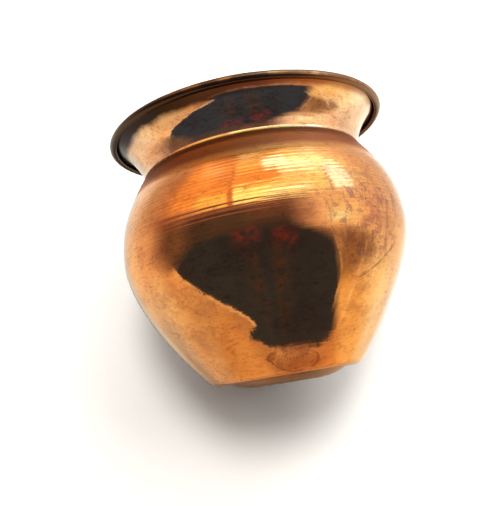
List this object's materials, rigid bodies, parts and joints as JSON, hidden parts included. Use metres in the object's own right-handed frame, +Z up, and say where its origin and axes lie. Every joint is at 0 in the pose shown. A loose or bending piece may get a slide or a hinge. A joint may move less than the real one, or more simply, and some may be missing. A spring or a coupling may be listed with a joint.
{
  "type": "kalash pot",
  "caption": "Small round-bellied copper water pot (kalash or lota) with a flared mouth, a rolled rim and a slightly domed base.",
  "frame": {"origin": "middle of the flat pad under the base, on the surface that the pot stands on", "axes": "+Z up along the axis that every piece is turned about; X and Y are alike"},
  "size_m": [0.1, 0.1, 0.0921],
  "materials": {
    "body_copper": "hand-polished copper with fine turning lines, smudges and light tarnish",
    "base_copper": "duller, scuffed copper",
    "mouth_copper": "polished copper, tarnished brown along the rolled rim",
    "braze": "dull, lumpy brass braze"
  },
  "bodies": {
    "root": {"body_shell": "body_copper", "base_disc": "base_copper", "mouth_flare": "mouth_copper", "base_braze": "braze", "neck_braze": "braze"}
  },
  "joints": []
}
